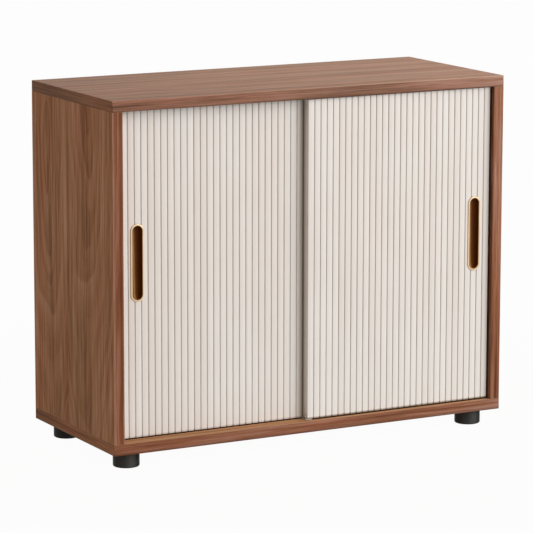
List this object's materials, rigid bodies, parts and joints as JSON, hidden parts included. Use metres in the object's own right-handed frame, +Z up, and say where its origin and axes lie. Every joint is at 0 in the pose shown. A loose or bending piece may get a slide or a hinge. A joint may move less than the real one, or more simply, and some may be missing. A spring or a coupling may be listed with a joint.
{
  "type": "sliding door cabinet",
  "caption": "Low walnut cabinet on short round feet, with fluted cream sliding doors that hang from a hidden track and open with long brass-rimmed finger recesses.",
  "frame": {"origin": "on the floor under the middle of the case", "axes": "+X along the width to the right as seen from the front, +Y from the doors to the back, +Z up"},
  "size_m": [0.8, 0.338, 0.66],
  "materials": {
    "walnut": "walnut veneer on board, satin, grain along the length of each board",
    "walnut_lining": "walnut veneer on board, matt, inside the case",
    "cream_lacquer": "fluted board in cream lacquer, satin",
    "brass": "satin brass",
    "bronze": "dark bronze lacquer on pressed metal",
    "foot_plastic": "black moulded plastic, semi-matt",
    "hanger_plastic": "grey moulded plastic",
    "acetal": "white moulded acetal",
    "aluminium": "extruded aluminium, natural",
    "steel": "zinc-plated steel",
    "rubber": "dark rubber",
    "beech": "plain beech"
  },
  "bodies": {
    "case": {"top_board": "walnut", "bottom_board": "walnut", "left_side": "walnut", "right_side": "walnut", "back_board": "walnut_lining", "centre_divider": "walnut_lining", "left_shelf": "walnut_lining", "right_shelf": "walnut_lining", "left_shelf_peg_front_left": "steel", "left_shelf_peg_back_left": "steel", "left_shelf_peg_front_right": "steel", "left_shelf_peg_back_right": "steel", "right_shelf_peg_front_left": "steel", "right_shelf_peg_back_left": "steel", "right_shelf_peg_front_right": "steel", "right_shelf_peg_back_right": "steel", "dowel_top_left_front": "beech", "dowel_top_left_back": "beech", "dowel_top_right_front": "beech", "dowel_top_right_back": "beech", "dowel_bottom_left_front": "beech", "dowel_bottom_left_back": "beech", "dowel_bottom_right_front": "beech", "dowel_bottom_right_back": "beech", "foot_front_left": "foot_plastic", "foot_screw_front_left": "steel", "foot_front_right": "foot_plastic", "foot_screw_front_right": "steel", "foot_back_left": "foot_plastic", "foot_screw_back_left": "steel", "foot_back_right": "foot_plastic", "foot_screw_back_right": "steel", "door_track": "aluminium", "floor_guide": "acetal", "floor_guide_screw": "steel", "left_side_buffer_front": "rubber", "left_side_buffer_rear": "rubber", "right_side_buffer_front": "rubber", "right_side_buffer_rear": "rubber"},
    "left_door": {"left_door_panel": "cream_lacquer", "left_door_handle_rim": "brass", "left_door_handle_cup": "bronze", "left_door_hanger_left": "hanger_plastic", "left_door_hanger_screw_left": "steel", "left_door_hanger_right": "hanger_plastic", "left_door_hanger_screw_right": "steel"},
    "right_door": {"right_door_panel": "cream_lacquer", "right_door_handle_rim": "brass", "right_door_handle_cup": "bronze", "right_door_hanger_left": "hanger_plastic", "right_door_hanger_screw_left": "steel", "right_door_hanger_right": "hanger_plastic", "right_door_hanger_screw_right": "steel"},
    "left_door_roller_left": {"left_door_roller_left": "acetal"},
    "left_door_roller_right": {"left_door_roller_right": "acetal"},
    "right_door_roller_left": {"right_door_roller_left": "acetal"},
    "right_door_roller_right": {"right_door_roller_right": "acetal"}
  },
  "joints": [
    {"name": "left_door_slide", "type": "slide", "parent": "case", "child": "left_door", "axis": [1, 0, 0], "range_m": [0, 0.371]},
    {"name": "right_door_slide", "type": "slide", "parent": "case", "child": "right_door", "axis": [1, 0, 0], "range_m": [-0.371, 0]},
    {"name": "left_door_roller_left_turn", "type": "hinge", "parent": "left_door", "child": "left_door_roller_left", "pos_m": [-0.3175, -0.1325, 0.64565], "axis": [0, 1, 0], "range_deg": [0, 5315]},
    {"name": "left_door_roller_right_turn", "type": "hinge", "parent": "left_door", "child": "left_door_roller_right", "pos_m": [-0.0535, -0.1325, 0.64565], "axis": [0, 1, 0], "range_deg": [0, 5315]},
    {"name": "right_door_roller_left_turn", "type": "hinge", "parent": "right_door", "child": "right_door_roller_left", "pos_m": [0.0535, -0.1515, 0.64565], "axis": [0, 1, 0], "range_deg": [-5315, 0]},
    {"name": "right_door_roller_right_turn", "type": "hinge", "parent": "right_door", "child": "right_door_roller_right", "pos_m": [0.3175, -0.1515, 0.64565], "axis": [0, 1, 0], "range_deg": [-5315, 0]}
  ],
  "couplings": [
    {"joint": "left_door_roller_left_turn", "follows": "left_door_slide", "rad_per_m": 250},
    {"joint": "left_door_roller_right_turn", "follows": "left_door_slide", "rad_per_m": 250},
    {"joint": "right_door_roller_left_turn", "follows": "right_door_slide", "rad_per_m": 250},
    {"joint": "right_door_roller_right_turn", "follows": "right_door_slide", "rad_per_m": 250}
  ]
}
